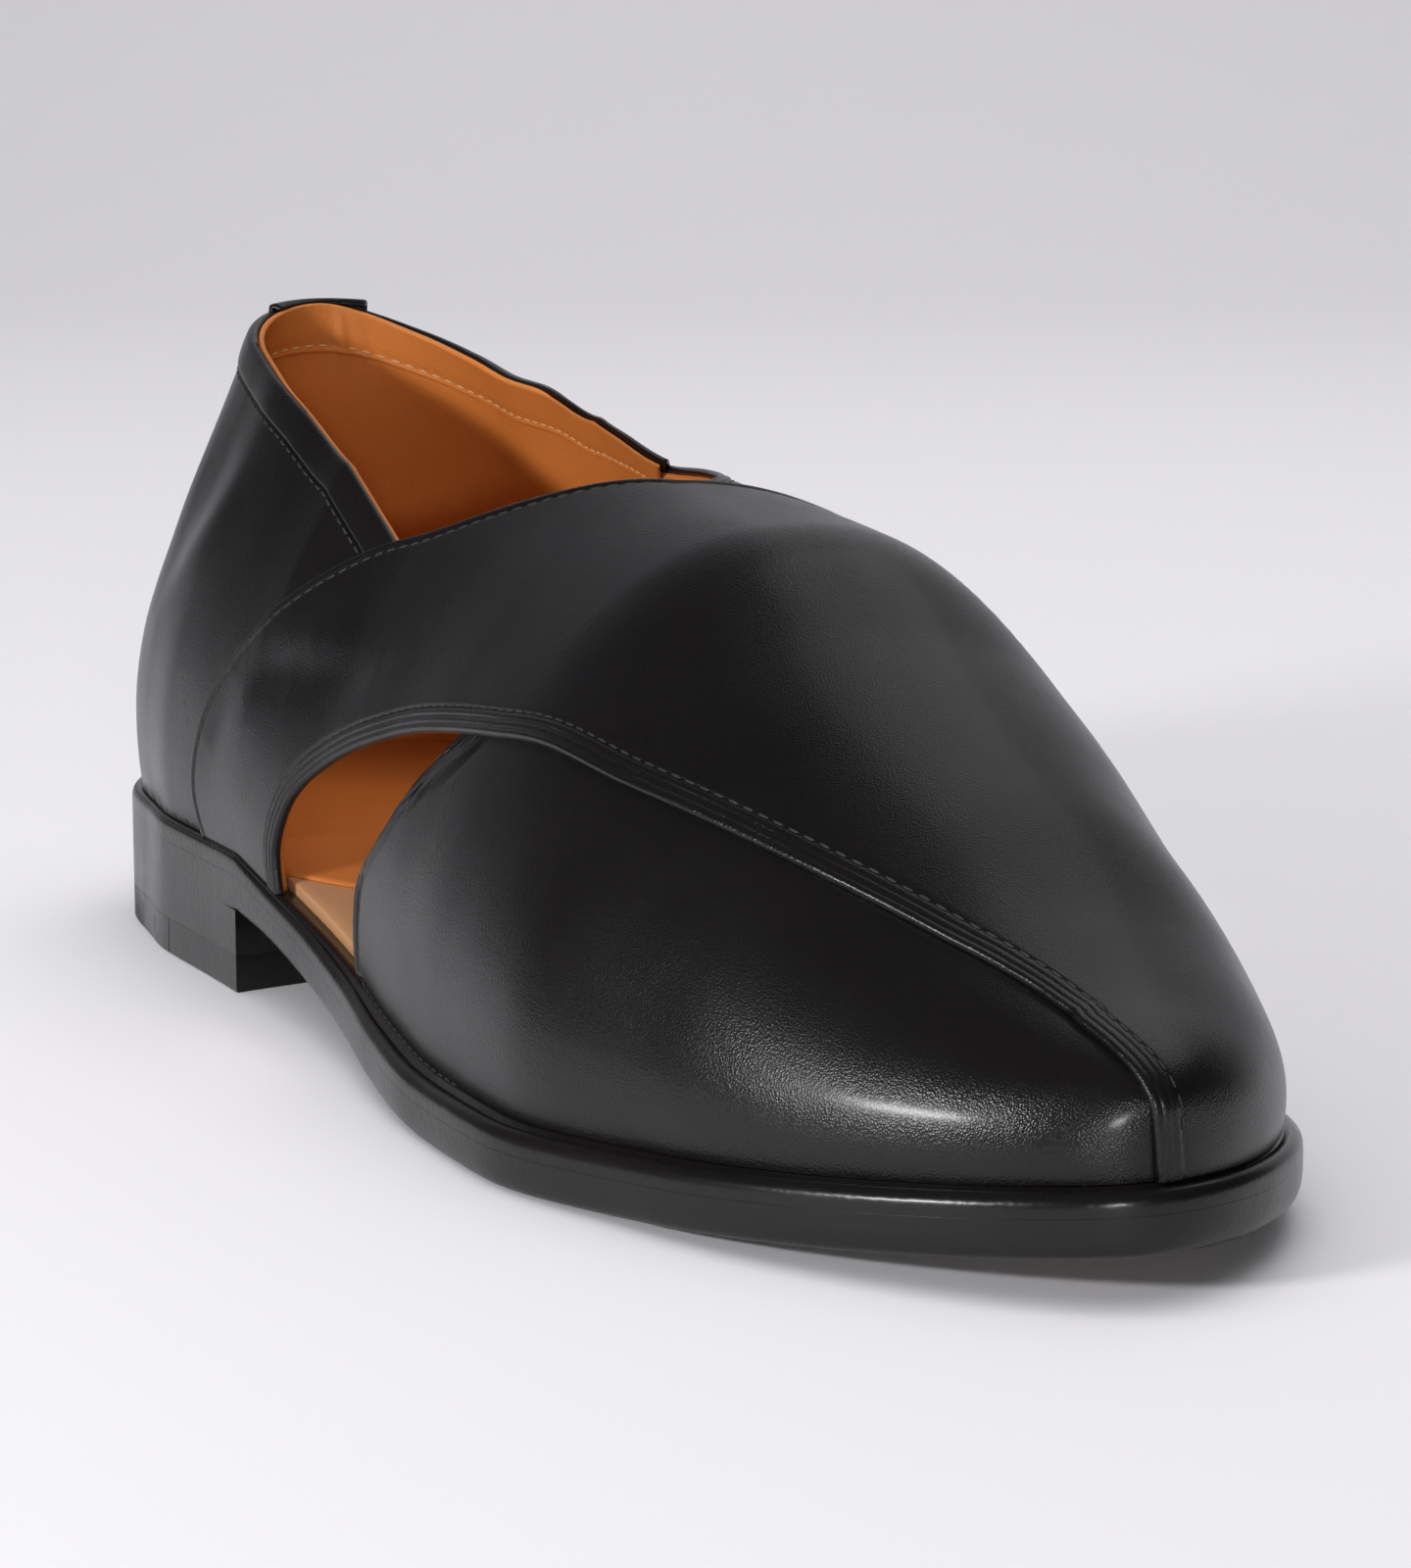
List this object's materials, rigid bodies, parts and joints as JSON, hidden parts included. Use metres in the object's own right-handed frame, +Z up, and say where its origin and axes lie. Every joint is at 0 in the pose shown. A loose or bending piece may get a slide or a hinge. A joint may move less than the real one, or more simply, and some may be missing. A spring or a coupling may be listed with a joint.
{
  "type": "peshawari chappal",
  "caption": "Right closed-toe peshawari chappal: crossed strap-and-vamp panels with side cut-outs, high closed back, welted leather sole and block heel.",
  "frame": {"origin": "on the floor, under the middle of the sole's box", "axes": "+X runs to the toe, +Z up, -Y is the lateral (outer) side of this right shoe"},
  "size_m": [0.3, 0.106, 0.1036],
  "materials": {
    "upper_leather": "polished fine-grained black calf",
    "insole_leather": "natural tan, matt",
    "edge_leather": "black, waxed and burnished",
    "sole_leather": "natural tan fading to a black burnish at the edges",
    "heel_rubber": "matt black"
  },
  "bodies": {
    "root": {"upper": "upper_leather", "insole": "insole_leather", "welt": "edge_leather", "outsole": "sole_leather", "heel_stack": "edge_leather", "heel_leather_piece": "sole_leather", "heel_rubber_piece": "heel_rubber"}
  },
  "joints": []
}
